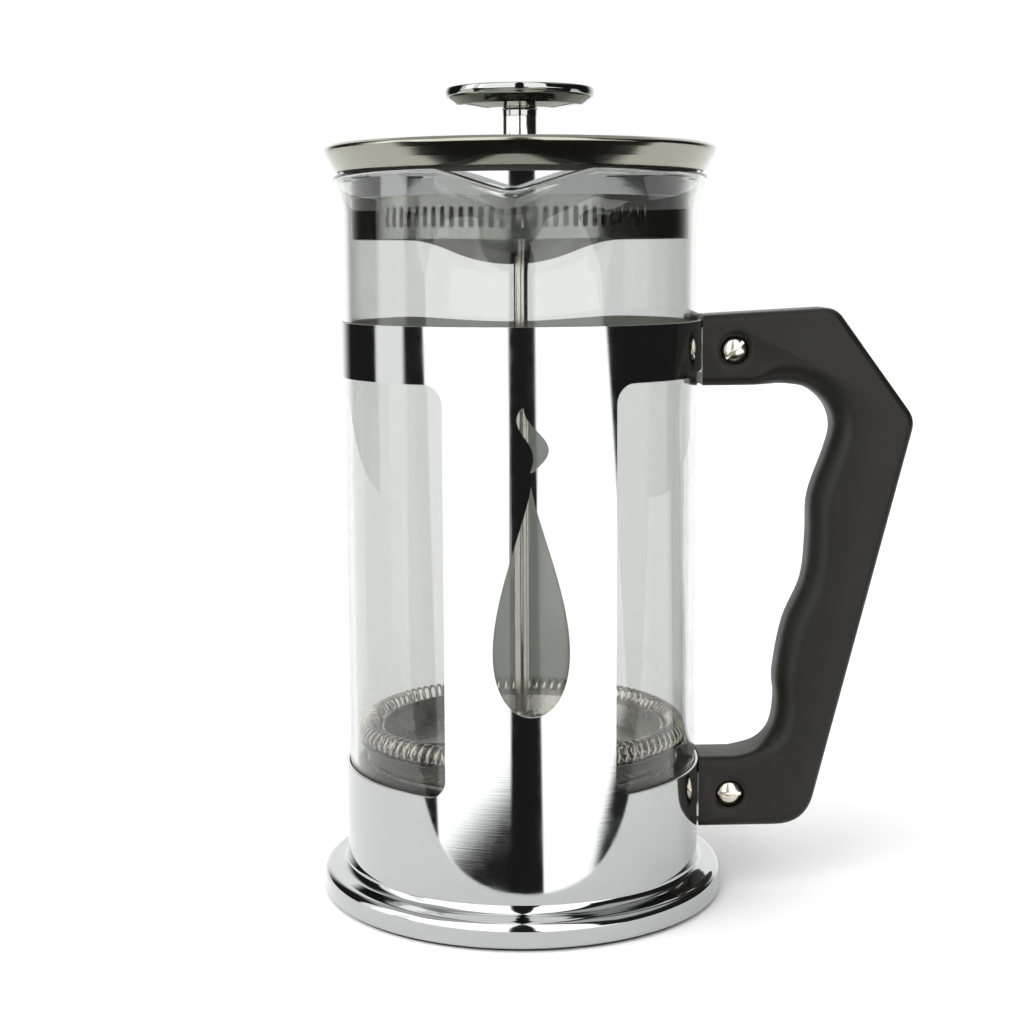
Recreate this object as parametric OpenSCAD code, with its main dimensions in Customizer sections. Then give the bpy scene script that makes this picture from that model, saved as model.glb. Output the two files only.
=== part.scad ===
// French press: a glass beaker in a pressed steel frame, with a lid, a plunger and a side handle.
// Origin at the centre of the foot pad's underside, +Z up, front strip towards -Y, handle towards +X.

/* [Beaker] */
// Outside diameter of the glass beaker
glass_d = 96; // [94:0.5:97]
// Wall thickness of the glass
glass_wall = 2; // [1.8:0.1:2.2]
// Height of the glass rim above the table
rim_z = 196.9; // [196:0.1:198]
// How far the rim flares out past the beaker's side
rim_flare = 2.3; // [1.8:0.1:2.8]
// Reach of the spout's lip past the beaker's side
spout_reach = 9.4; // [8:0.1:10]
// How far the spout's lip dips below the rim
spout_dip = 6; // [5:0.1:7]
// Direction of the spout, in degrees from the front strip
spout_turn = -5; // [-40:1:40]

/* [Frame] */
// Thickness of the frame's steel sheet
sheet = 0.6; // [0.5:0.05:0.7]
// Gap between the frame and the glass
glass_gap = 0.3; // [0.2:0.05:0.4]
// Height of the sleeve's lower edge
sleeve_z0 = 10.2; // [9.8:0.1:10.6]
// Height of the windows' lower edge
window_z0 = 36.9; // [34:0.5:40]
// Height of the windows' upper edge
window_z1 = 143.5; // [140:0.5:146]
// Height of the top band's upper edge
band_z1 = 158; // [156:0.5:160]
// Half the angle that the front and back strips span, in degrees
strip_half_angle = 26.75; // [24:0.25:30]
// Corner radius of the windows
window_corner = 5.2; // [3:0.2:8]
// Radius of the foot ring
foot_r = 55.5; // [54.5:0.1:57]

/* [Handle] */
// Thickness of the handle, front to back
handle_t = 17; // [15:0.5:19]
// Distance of the handle screws from the axis
screw_x = 57.4; // [56.5:0.1:58.5]
// Height of the upper handle screw
screw_z1 = 149.9; // [149:0.1:151]
// Height of the lower handle screw
screw_z0 = 26.6; // [26:0.1:28]

/* [Lid] */
// Widest radius of the lid
lid_r = 51.9; // [51.4:0.1:52.4]
// Height of the lid's upper edge
lid_z1 = 204.5; // [204.3:0.1:205.2]
// Number of pouring slots in the strainer ring
slot_count = 29; // [21:2:31]

/* [Plunger] */
// Radius of the plunger rod
rod_r = 1.9; // [1.7:0.05:1.95]
// Radius of the knob
knob_r = 20.1; // [18:0.1:22]
// Height of the filter's coil ring
coil_z = 46.4; // [46:0.1:47]
// Outer radius of the coil ring
coil_out_r = 45.5; // [45:0.1:45.6]

/* [Hidden] */
$fn = 96;

chrome = "#c9cbcd";
steel = "#b9bab5";
black_plastic = "#1b1b1a";
silicone = "#d8d8d2";
glass_tint = "#d5dcd6";
eps = 0.01;
cut = 200;

// Glass and frame radii
glass_r = glass_d / 2;
bore_r = glass_r - glass_wall;
sleeve_in = glass_r + glass_gap;
sleeve_out = sleeve_in + sheet;

// Foot and cushion levels
pan_t = 0.8;
pan_floor_z = 6.2;
cushion_z0 = pan_floor_z + pan_t + 0.3;
cushion_z1 = cushion_z0 + 1.9;
glass_z0 = cushion_z1 + 0.3;
glass_floor = 2.4;
spout_root_z = 175;
spout_centre = 38.1;

// Handle fastening
screw_levels = [screw_z0, screw_z1];
ear_gap = 3.1;
ear_t = 1.1;
ear_reach = 63;
ear_half_height = 6.2;
strap_t = 0.5;
pocket_half = ear_gap + ear_t + 0.2;
barrel_r = 2.5;
thread_r = 1.5;
head_r = 3.75;
head_seat = 5.6;
head_rise = 2.3;

// Lid levels
lid_sheet = 0.7;
lid_z0 = 197.4;
lid_foot_r = 49.3;
dish_z = 203.4;
collar_out = bore_r - 0.4;
collar_z0 = 190.6;
strainer_out = collar_out - 0.45;
strainer_z0 = 179.8;
strainer_z1 = 194;
slot_z0 = 182.6;
slot_z1 = 187.8;
slot_w = 1.3;
slot_pitch_angle = 3.2;
bush_r = 5;

// Plunger levels
coil_tube_r = 3;
coil_mid_r = coil_out_r - coil_tube_r;
screen_z = coil_z - 7.9;
screen_t = 0.35;
cross_t = 0.8;
press_t = 0.6;
press_z = screen_z + screen_t + 0.1;
stem_r = 4.6;
stem_z0 = 205.3;
stem_z1 = 212.3;
knob_z = 218.3;
knob_low = 214;
knob_top = 220.3;
rod_z1 = 216.5;

// Cut-out in the front strip
drop_z = 89;
drop_half_height = 29.5;
drop_half_width = 14.2;
wisp_z0 = 122;
wisp_length = 16;

// ---- shared shapes ----

// Ring of rectangular section
module tube(r_out, r_in, z0, z1) {
    difference() {
        translate([0, 0, z0]) cylinder(r = r_out, h = z1 - z0);
        translate([0, 0, z0 - 1]) cylinder(r = r_in, h = z1 - z0 + 2);
    }
}

// Disc with a central hole
module washer(r_out, r_in, z0, t) {
    tube(r_out, r_in, z0, z0 + t);
}

// Places children at n equal steps round the axis
module around(n, start = 0) {
    for (i = [0:n - 1])
        rotate([0, 0, start + i * 360 / n]) children();
}

// Points of an arc about c from angle a0 to a1
function arc(c, r, a0, a1, n = 8) =
    [for (i = [0:n]) let (a = a0 + (a1 - a0) * i / n) [c[0] + r * cos(a), c[1] + r * sin(a)]];

// One point of a smooth curve through p1 and p2, u from 0 to 1
function curve_point(p0, p1, p2, p3, u) =
    0.5 * (2 * p1 + (p2 - p0) * u + (2 * p0 - 5 * p1 + 4 * p2 - p3) * u * u
        + (3 * p1 - p0 - 3 * p2 + p3) * u * u * u);

// Smooth curve through the listed points, its first and last points included
function smooth(p, n = 5) = let (last = len(p) - 1) concat(
    [for (i = [0:last - 1], k = [0:n - 1])
        curve_point(p[max(i - 1, 0)], p[i], p[i + 1], p[min(i + 2, last)], k / n)],
    [p[last]]);

function unit(v) = v / norm(v);

// Arc that rounds the corner b, between a and c, to radius r
function fillet(a, b, c, r, n = 8) =
    let (u = unit(a - b), v = unit(c - b), half = acos(u * v) / 2,
        mid = b + unit(u + v) * r / sin(half),
        p = b + u * r / tan(half) - mid, q = b + v * r / tan(half) - mid,
        a0 = atan2(p[1], p[0]), turn = atan2(q[1], q[0]) - a0,
        sweep = turn > 180 ? turn - 360 : (turn < -180 ? turn + 360 : turn))
    arc(mid, r, a0, a0 + sweep, n);

// ---- foot and frame ----

module foot_pad() {
    color(black_plastic) {
        difference() {
            cylinder(r = foot_r - 1.7, h = 1.3);
            around(3, 30) translate([30, 0, 0.7]) cylinder(r = 6, h = 1);
        }
        tube(foot_r - 1.7, foot_r - 4, 1.3, 5);
    }
}

// Pressed foot: floor, neck inside the sleeve, fillet and rounded outer ring
module base_pan() {
    neck_out = sleeve_in - 0.02;
    neck_top = 12;
    outer = concat(
        [[0, pan_floor_z], [neck_out - pan_t - 2, pan_floor_z]],
        arc([neck_out - pan_t - 2, pan_floor_z + 2], 2, -90, 0, 5),
        [[neck_out - pan_t, neck_top], [neck_out, neck_top], [neck_out, sleeve_z0 - 0.02]],
        [[sleeve_out - 0.1, sleeve_z0 - 0.02]],
        arc([sleeve_out + 2.3, sleeve_z0], 2.4, 180, 262, 7),
        arc([foot_r - 2.4, 5.3], 2.4, 92, 0, 9),
        arc([foot_r - 0.9, 1.8], 0.9, 0, -90, 4),
        [[foot_r - 1.6, 0.9], [foot_r - 1.6, 5.2], [foot_r - 2.6, 6.4]],
        [[sleeve_out + 1.6, 6.4], [neck_out - 1.2, 6.4], [neck_out - 1.6, 5.4], [0, 5.4]]);
    color(chrome) rotate_extrude() polygon(outer);
}

// Opening in one side of the sleeve, with rounded corners laid out round the wall
module window_cut() {
    half = 90 - strip_half_angle;
    corner_angle = window_corner / sleeve_out * 180 / PI;
    wedge = half - corner_angle;
    height = window_z1 - window_z0;
    rotate([0, 0, -wedge]) rotate_extrude(angle = 2 * wedge)
        translate([sleeve_in - 2, window_z0]) square([6, height]);
    rotate([0, 0, -half]) rotate_extrude(angle = 2 * half)
        translate([sleeve_in - 2, window_z0 + window_corner])
            square([6, height - 2 * window_corner]);
    for (side = [-1, 1], z = [window_z0 + window_corner, window_z1 - window_corner])
        rotate([0, 0, side * wedge]) translate([sleeve_in - 2, 0, z])
            rotate([0, 90, 0]) cylinder(r = window_corner, h = 6);
}

// Outline of a falling drop: pointed above, round below
function drop_outline(w, h, n = 40) =
    [for (i = [0:n - 1]) let (t = 360 * i / n) [w * sin(t) * pow(sin(t / 2), 1.6), h * cos(t)]];

// Outline of a curl of steam, tapered to both ends
function wisp_side(side, len, n) = [for (i = [0:n])
    let (u = i / n) [2.4 * sin(300 * u) + side * (0.25 + 2.1 * sin(180 * u)), len * u]];
function wisp_outline(len, n = 16) = concat(
    wisp_side(1, len, n),
    [for (i = [n:-1:0]) wisp_side(-1, len, n)[i]]);

// Ornament cut through the front strip
module strip_ornament() {
    translate([0, -sleeve_in + 5, 0]) rotate([90, 0, 0]) linear_extrude(12) {
        translate([0, drop_z]) polygon(drop_outline(drop_half_width, drop_half_height));
        translate([0, wisp_z0]) polygon(wisp_outline(wisp_length));
    }
}

module frame_sleeve() {
    ear_relief_angle = 27;
    color(chrome) difference() {
        tube(sleeve_out, sleeve_in, sleeve_z0, band_z1);
        window_cut();
        rotate([0, 0, 180]) window_cut();
        strip_ornament();
        rotate([0, 0, -ear_relief_angle]) rotate_extrude(angle = 2 * ear_relief_angle)
            translate([sleeve_in - 2, window_z1 - 1]) square([6, 2.2]);
    }
}

// Welded strap with two ears that carry a handle screw
module bracket(z) {
    strap_half_angle = 9;
    difference() {
        union() {
            rotate([0, 0, -strap_half_angle]) rotate_extrude(angle = 2 * strap_half_angle)
                translate([sleeve_out + 0.02, z - ear_half_height])
                    square([strap_t, 2 * ear_half_height]);
            for (side = [-1, 1])
                translate([sleeve_out + 0.2, side * (ear_gap + ear_t / 2), z])
                    ear();
        }
        translate([screw_x, 0, z]) rotate([90, 0, 0])
            cylinder(r = barrel_r + 0.1, h = 20, center = true);
    }
}

// One ear, square where it leaves the strap and round at its end
module ear() {
    reach = ear_reach - sleeve_out - 0.2;
    rotate([90, 0, 0]) translate([0, 0, -ear_t / 2]) linear_extrude(ear_t) {
        translate([0, -ear_half_height]) square([reach - ear_half_height, 2 * ear_half_height]);
        translate([reach - ear_half_height, 0]) circle(r = ear_half_height);
    }
}

module upper_bracket() { color(chrome) bracket(screw_z1); }
module lower_bracket() { color(chrome) bracket(screw_z0); }

// ---- handle and its fasteners ----

// Side view of the handle: straight arms, a raked back and a finger-waved grip
function grip_curve() = smooth([
    [60, 37.1], [66, 39.7], [70, 45.5], [70.9, 52.7], [70.5, 60], [73.1, 74.1], [78, 86],
    [79.2, 98], [79.6, 109.5], [84, 122.5], [85.3, 129], [83, 135], [78, 139.4], [72, 140.6]]);

function handle_outline() =
    let (arm_end = [47, 159.2], top = [85, 161.2], elbow = [107.4, 130.7],
        heel = [79, 17.2], toe = [50.7, 17.2])
    concat(
        [[47, 140.3], arm_end],
        fillet(arm_end, top, elbow, 6),
        fillet(top, elbow, heel, 7),
        fillet(elbow, heel, toe, 11),
        [toe, [50.7, 37.1]],
        grip_curve());

// Screw hole with a shallow seat on each side of the handle
module screw_hole(z) {
    translate([screw_x, 0, z]) rotate([90, 0, 0]) {
        cylinder(r = barrel_r + 0.1, h = handle_t + 2, center = true);
        for (flip = [0, 1]) mirror([0, 0, flip]) {
            translate([0, 0, head_seat]) cylinder(r = head_r + 0.25, h = handle_t);
            translate([0, 0, handle_t / 2 - 0.7])
                cylinder(r1 = head_r + 0.25, r2 = head_r + 1.6, h = 0.71);
        }
    }
}

module handle() {
    color(black_plastic) difference() {
        rotate([90, 0, 0]) translate([0, 0, -handle_t / 2])
            linear_extrude(handle_t) polygon(handle_outline());
        cylinder(r = sleeve_out + strap_t + 0.05, h = cut);
        for (z = screw_levels) {
            screw_hole(z);
            translate([40, -pocket_half, z - ear_half_height - 0.4])
                cube([ear_reach + 1 - 40, 2 * pocket_half, 2 * ear_half_height + 0.8]);
        }
    }
}

// Domed head with a screwdriver slot, its seat at z 0, with a rounded rim
module slotted_head(turn) {
    rim = 0.6;
    dome = concat([[0, 0], [head_r, 0]], [[head_r, rim]],
        [for (a = [15:15:90]) [head_r * cos(a), rim + (head_rise - rim) * sin(a)]]);
    difference() {
        rotate_extrude() polygon(dome);
        rotate([0, 0, turn]) translate([-head_r - 1, -0.5, head_rise - 1.1])
            cube([2 * head_r + 2, 1, 2]);
    }
}

// Slotted screw from the front and barrel nut from the back, meeting inside the handle
module screw(z, turn) {
    color(steel) translate([screw_x, 0, z]) rotate([90, 0, 0]) {
        translate([0, 0, head_seat]) slotted_head(turn);
        translate([0, 0, -3]) cylinder(r = thread_r, h = head_seat + 3 + eps);
    }
}

module barrel_nut(z, turn) {
    color(steel) translate([screw_x, 0, z]) rotate([-90, 0, 0]) {
        translate([0, 0, head_seat]) slotted_head(turn);
        difference() {
            translate([0, 0, -5]) cylinder(r = barrel_r, h = head_seat + 5 + eps);
            translate([0, 0, -6]) cylinder(r = thread_r + 0.05, h = 9.5);
        }
    }
}

module upper_screw() { screw(screw_z1, 45); }
module lower_screw() { screw(screw_z0, 5); }
module upper_barrel_nut() { barrel_nut(screw_z1, 20); }
module lower_barrel_nut() { barrel_nut(screw_z0, 70); }

// ---- beaker ----

module beaker_cushion() {
    color(silicone) difference() {
        washer(43.5, 12, cushion_z0, cushion_z1 - cushion_z0);
        around(6) translate([27, 0, cushion_z0 - 1]) cylinder(r = 5, h = 5);
    }
}

// Section of the beaker's outside or inside: floor, wall and flared rim
function beaker_section(inset) =
    let (r = glass_r - inset, corner = 6 - inset, bottom = glass_z0 + inset * glass_floor / glass_wall,
        neck_z = rim_z - 10, rim_r = glass_r + rim_flare - inset * 0.9)
    concat(
        [[0, bottom], [r - corner, bottom]],
        arc([r - corner, bottom + corner], corner, -90, 0, 6),
        smooth([[r, neck_z], [r + 0.35, neck_z + 4], [rim_r - 0.9, rim_z - 3.4],
            [rim_r, rim_z - 1.5]], 4));

// Channel of the spout: a cone that leaves the wall at its root and widens to the lip
module spout_cone(inset) {
    rise = rim_z - spout_root_z;
    slope = (spout_reach + 0.4) / (rise - spout_dip);
    start = 4;
    top = 6;
    translate([0, -spout_centre, spout_root_z - start])
        cylinder(r1 = glass_r - inset - spout_centre - start * slope,
            r2 = glass_r - inset - spout_centre + (rise + top) * slope, h = start + rise + top);
}

// Filled outside or inside of the beaker, spout included, up to the given height
module beaker_form(inset, top_z, top_r) {
    rotate_extrude() polygon(concat(beaker_section(inset), [[top_r, top_z], [0, top_z]]));
    spout_cone(inset);
}

module glass_beaker() {
    lip_start = glass_r - 2;
    lip_slope = atan(spout_dip / (glass_r + spout_reach - lip_start));
    rotate([0, 0, spout_turn]) color(glass_tint, 0.35) difference() {
        beaker_form(0, rim_z, glass_r + rim_flare - 0.8);
        beaker_form(glass_wall, rim_z + 0.5, glass_r + 0.6);
        translate([-cut / 2, -cut / 2, rim_z]) cube([cut, cut, cut]);
        translate([-cut / 2, -lip_start, rim_z]) rotate([lip_slope, 0, 0]) translate([0, -cut, 0])
            cube([cut, cut, 20]);
    }
}

// ---- lid ----

module lid_cap() {
    top_r = lid_r - 1.3;
    section = concat(
        [[lid_foot_r, lid_z0], [lid_r - 0.15, lid_z1 - 2.1]],
        arc([lid_r - 1.25, lid_z1 - 1.3], 1.25, -20, 90, 8),
        [[top_r - 1.1, lid_z1], [46.5, dish_z + 0.1], [45, dish_z], [16, dish_z], [13.5, dish_z + 0.3]],
        [[bush_r + 0.15, dish_z + 0.3], [bush_r + 0.15, dish_z - lid_sheet + 0.3]],
        [[13.3, dish_z - lid_sheet + 0.3], [15.8, dish_z - lid_sheet], [45.2, dish_z - lid_sheet]],
        [[46.7, dish_z - lid_sheet + 0.1], [top_r - 1, lid_z1 - lid_sheet]],
        [[top_r - 0.1, lid_z1 - lid_sheet], [lid_r - 0.9, lid_z1 - 1.8], [lid_foot_r - 0.8, lid_z0]]);
    color(chrome) rotate_extrude() polygon(section);
}

// Inner collar: a flat shoulder under the cap and a wall that drops into the beaker
module lid_collar() {
    color(chrome) rotate_extrude() polygon([
        [lid_foot_r - 0.9, lid_z0], [lid_foot_r - 0.6, lid_z0 + 0.6], [collar_out - 0.4, lid_z0 + 0.6],
        [collar_out - 0.4, collar_z0], [collar_out, collar_z0], [collar_out, lid_z0]]);
}

module strainer_ring() {
    slot_mid = (slot_z0 + slot_z1) / 2;
    color(steel) difference() {
        tube(strainer_out, strainer_out - 0.4, strainer_z0, strainer_z1);
        rotate([0, 0, spout_turn]) for (i = [0:slot_count - 1])
            rotate([0, 0, (i - (slot_count - 1) / 2) * slot_pitch_angle])
                translate([-slot_w / 2, -strainer_out - 2, slot_z0])
                    cube([slot_w, 4, slot_z1 - slot_z0]);
    }
}

// Seal in the corner between the collar and its flange
module lid_seal() {
    color("#4b3b30") washer(collar_out + 1.7, collar_out + 0.05, lid_z0 - 1.3, 1.25);
}

// Guide bush: flange on the lid, barrel through it, groove for the clip
module rod_bush() {
    color(black_plastic) difference() {
        union() {
            translate([0, 0, dish_z + 0.5]) cylinder(r = 7.5, h = 0.9);
            translate([0, 0, dish_z - 4.5]) cylinder(r = bush_r, h = 5.2);
        }
        translate([0, 0, dish_z - 6]) cylinder(r = rod_r + 0.1, h = 12);
        tube(bush_r + 1, bush_r - 0.8, dish_z - 2.2, dish_z - 1.3);
    }
}

module bush_clip() {
    color(steel) difference() {
        tube(7, bush_r - 0.75, dish_z - 2.1, dish_z - 1.4);
        translate([0, -bush_r + 1.2, dish_z - 3]) cube([20, 2 * bush_r - 2.4, 3]);
    }
}

// ---- plunger ----

module plunger_rod() {
    color(steel) union() {
        translate([0, 0, screen_z - 7.3]) cylinder(r = rod_r - 0.4, h = 9);
        translate([0, 0, screen_z + 1.7]) cylinder(r = rod_r, h = rod_z1 - screen_z - 5.9);
        translate([0, 0, rod_z1 - 4.2 - eps]) cylinder(r = rod_r - 0.4, h = 4.2);
    }
}

module knob() {
    section = concat(
        [[0, knob_low], [9, knob_low + 0.2], [knob_r - 3.7, knob_low + 1]],
        [[knob_r - 1.9, knob_low + 1.9], [knob_r - 0.4, knob_z - 1.2], [knob_r, knob_z]],
        arc([knob_r - 0.9, knob_z + 0.6], 0.9, 0, 80, 6),
        [[knob_r - 8, knob_top - 0.3], [0, knob_top]]);
    color(chrome) difference() {
        union() {
            rotate_extrude() polygon(section);
            translate([0, 0, stem_z1 + 0.05]) cylinder(r = stem_r, h = knob_z - stem_z1 - 1);
        }
        translate([0, 0, stem_z1 - 1]) cylinder(r = rod_r - 0.35, h = rod_z1 + 0.1 - stem_z1 + 1);
    }
}

module knob_stem() {
    color(chrome) tube(stem_r, rod_r + 0.05, stem_z0, stem_z1);
}

// Shoulder collar that clamps the filter plates against the boss
module rod_collar() {
    z0 = press_z + press_t + 0.02;
    color(steel) difference() {
        rotate_extrude() polygon([
            [0, z0], [5.2, z0], [5.2, z0 + 1], [3.9, z0 + 1.6], [3.9, z0 + 8.8], [3.2, z0 + 9.6], [0, z0 + 9.6]]);
        translate([0, 0, z0 - 1]) cylinder(r = rod_r + 0.03, h = 14);
    }
}

// Upper plate: slotted dish whose turned-up rim carries the coil
module press_plate() {
    rim_r = coil_mid_r - coil_tube_r - 0.3;
    color(steel) difference() {
        rotate_extrude() polygon([
            [rod_r + 0.05, press_z], [rim_r - 3, press_z], [rim_r, press_z + 5.6], [rim_r, press_z + 7.6],
            [rim_r - press_t, press_z + 7.6], [rim_r - press_t, press_z + 5.8],
            [rim_r - 3.4, press_z + press_t], [rod_r + 0.05, press_z + press_t]]);
        around(6) translate([0, 0, press_z - 1]) linear_extrude(3) {
            translate([14, -4]) square([12, 8]);
            translate([14, 0]) circle(r = 4);
            translate([26, 0]) circle(r = 4);
        }
    }
}

module seal_coil() {
    color(steel) rotate_extrude()
        translate([coil_mid_r, coil_z]) circle(r = coil_tube_r, $fn = 48);
}

// Woven screen: a flat disc and a skirt that flares up outside the coil's underside
module mesh_screen() {
    foot_r2 = coil_out_r - 2.6;
    lip = coil_out_r - 0.3;
    color("#9c9a90") rotate_extrude() polygon([
        [rod_r + 0.05, screen_z], [foot_r2, screen_z], [lip, coil_z - 2.6],
        [lip - screen_t, coil_z - 2.5], [foot_r2 - screen_t, screen_z + screen_t],
        [rod_r + 0.05, screen_z + screen_t]]);
}

module cross_plate() {
    z0 = screen_z - cross_t - 0.05;
    color(steel) difference() {
        washer(coil_out_r - 2.3, 4, z0, cross_t);
        around(8) translate([15, 0, z0 - 1]) cylinder(r = 3.4, h = 3);
        around(14, 8) translate([26.5, 0, z0 - 1]) cylinder(r = 3.4, h = 3);
        around(20) translate([37, 0, z0 - 1]) cylinder(r = 2.8, h = 3);
    }
}

// Threaded boss under the cross plate, which takes the rod's end
module plunger_boss() {
    z0 = screen_z - 7.5;
    color(steel) difference() {
        union() {
            translate([0, 0, z0]) cylinder(r = 5.2, h = 6.6);
            translate([0, 0, z0 + 6.5]) cylinder(r = 3.95, h = 0.9);
        }
        translate([0, 0, z0 - 1]) cylinder(r = rod_r - 0.35, h = 12);
    }
}

foot_pad();
base_pan();
frame_sleeve();
upper_bracket();
lower_bracket();
handle();
upper_screw();
upper_barrel_nut();
lower_screw();
lower_barrel_nut();
beaker_cushion();
glass_beaker();
lid_seal();
lid_cap();
lid_collar();
strainer_ring();
rod_bush();
bush_clip();
plunger_rod();
knob();
knob_stem();
rod_collar();
press_plate();
seal_coil();
mesh_screen();
cross_plate();
plunger_boss();
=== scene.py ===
"""French press: a glass beaker in a polished steel frame, with a strainer lid and a coil-sealed plunger.

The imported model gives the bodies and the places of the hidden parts. The classes below build the
finished pieces in the same frame: +Z up the plunger's axis, -Y towards the front strip, +X towards
the handle. Sizes in the classes are in millimetres and become metres as a mesh is made.
"""
import logging
import math
from contextlib import contextmanager
from dataclasses import dataclass, field
from enum import Enum
from typing import Callable, Iterator, Sequence

import bpy
from mathutils import Matrix, Vector


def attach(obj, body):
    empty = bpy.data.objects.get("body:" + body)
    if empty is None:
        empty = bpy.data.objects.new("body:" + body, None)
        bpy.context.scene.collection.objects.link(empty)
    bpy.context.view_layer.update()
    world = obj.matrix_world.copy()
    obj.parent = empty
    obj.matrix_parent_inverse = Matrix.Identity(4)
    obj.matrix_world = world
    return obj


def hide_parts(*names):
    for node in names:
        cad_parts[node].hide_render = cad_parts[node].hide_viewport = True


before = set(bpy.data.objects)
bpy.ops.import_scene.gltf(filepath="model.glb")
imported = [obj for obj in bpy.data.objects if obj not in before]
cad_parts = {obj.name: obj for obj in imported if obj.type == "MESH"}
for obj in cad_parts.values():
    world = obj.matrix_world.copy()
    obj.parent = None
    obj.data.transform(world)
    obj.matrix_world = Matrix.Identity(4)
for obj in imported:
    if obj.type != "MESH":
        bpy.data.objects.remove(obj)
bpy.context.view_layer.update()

MM = 0.001
WALL_RADIUS = 48.0
LOG = logging.getLogger("french_press")

Point = tuple[float, float]
Colour = tuple[float, float, float, float]
Tree = bpy.types.NodeTree
Socket = bpy.types.NodeSocket
Piece = bpy.types.Object
Material = bpy.types.Material


# ---- colours and node graphs ----


def srgb(code: str) -> Colour:
    """Turns an sRGB hex colour into the linear colour that a shader takes.

    Args:
        code: Six hex digits, such as "c8c8c4".

    Returns:
        Linear red, green and blue, and an alpha of 1.
    """
    parts = [int(code[i:i + 2], 16) / 255 for i in (0, 2, 4)]
    linear = [c / 12.92 if c <= 0.04045 else ((c + 0.055) / 1.055) ** 2.4 for c in parts]
    return (linear[0], linear[1], linear[2], 1.0)


def add_node(tree: Tree, kind: str, settings: dict | None = None,
             inputs: dict | None = None) -> bpy.types.Node:
    """Adds a node with its settings, and sets or links its inputs.

    Args:
        tree: The node tree that takes the node.
        kind: The node's type name.
        settings: Attributes of the node.
        inputs: Input name or number to a value, or to the output socket it is linked from.

    Returns:
        The new node.
    """
    node = tree.nodes.new(kind)
    for name, value in (settings or {}).items():
        setattr(node, name, value)
    for key, value in (inputs or {}).items():
        if isinstance(value, Socket):
            tree.links.new(value, node.inputs[key])
        else:
            node.inputs[key].default_value = value
    return node


def maths(tree: Tree, operation: str, *values: object) -> Socket:
    """Adds a Math node and returns its result."""
    node = add_node(tree, "ShaderNodeMath", {"operation": operation}, dict(enumerate(values)))
    return node.outputs[0]


def object_place(tree: Tree) -> Socket:
    """Returns a point's place in the object's own frame, in metres."""
    return add_node(tree, "ShaderNodeTexCoord").outputs["Object"]


def noise(tree: Tree, vector: Socket, scale: float, detail: float, roughness: float = 0.5) -> Socket:
    """Adds a noise texture and returns its value."""
    return add_node(tree, "ShaderNodeTexNoise", None, {
        "Vector": vector, "Scale": scale, "Detail": detail, "Roughness": roughness}).outputs[0]


def bumped(tree: Tree, height: Socket, strength: float, depth: float) -> Socket:
    """Adds a bump, its depth in millimetres, and returns the normal."""
    return add_node(tree, "ShaderNodeBump", None, {
        "Strength": strength, "Distance": depth * MM, "Height": height}).outputs[0]


def remap(tree: Tree, value: Socket, source: Point, target: Point = (0.0, 1.0)) -> Socket:
    """Stretches a value from one range to another."""
    return add_node(tree, "ShaderNodeMapRange", None, {
        "Value": value, "From Min": source[0], "From Max": source[1],
        "To Min": target[0], "To Max": target[1]}).outputs[0]


def blend(tree: Tree, factor: Socket, first: Colour | Socket, second: Colour | Socket) -> Socket:
    """Mixes two colours by a factor."""
    return add_node(tree, "ShaderNodeMix", {"data_type": "RGBA"}, {
        "Factor": factor, "A": first, "B": second}).outputs["Result"]


def new_tree(name: str) -> tuple[Material, Tree]:
    """Makes an empty material that uses nodes."""
    material = bpy.data.materials.new(name)
    material.use_nodes = True
    material.node_tree.nodes.clear()
    return material, material.node_tree


def close_tree(tree: Tree, inputs: dict) -> None:
    """Ends a material with its surface shader, given its inputs, and the output."""
    shader = add_node(tree, "ShaderNodeBsdfPrincipled", None, inputs)
    add_node(tree, "ShaderNodeOutputMaterial", None, {"Surface": shader.outputs[0]})


class Grain(Enum):
    """Which way the fine lines of a finish run."""

    AROUND = "round the vertical axis"
    ALONG = "up the vertical axis"


def grain_vector(tree: Tree, grain: Grain, spacing: float, length: float) -> Socket:
    """Makes a texture vector whose noise is drawn out into lines.

    Args:
        tree: The material's node tree.
        grain: Which way the lines run.
        spacing: Distance between lines, in millimetres.
        length: Length of a line, in millimetres.

    Returns:
        The vector, one unit of noise to each line's width.
    """
    axes = add_node(tree, "ShaderNodeSeparateXYZ", None, {0: object_place(tree)})
    angle = maths(tree, "ARCTAN2", axes.outputs["Y"], axes.outputs["X"])
    square = maths(tree, "ADD", maths(tree, "POWER", axes.outputs["X"], 2.0),
                   maths(tree, "POWER", axes.outputs["Y"], 2.0))
    radius = maths(tree, "SQRT", square)
    wall = maths(tree, "MULTIPLY", angle, WALL_RADIUS * MM)
    fine, coarse = 1 / (spacing * MM), 1 / (length * MM)
    scale = {Grain.AROUND: (coarse, fine, fine), Grain.ALONG: (fine, fine, coarse)}[grain]
    scaled = [maths(tree, "MULTIPLY", value, factor)
              for value, factor in zip((wall, radius, axes.outputs["Z"]), scale)]
    return add_node(tree, "ShaderNodeCombineXYZ", None, dict(enumerate(scaled))).outputs[0]


# ---- finishes ----


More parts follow.
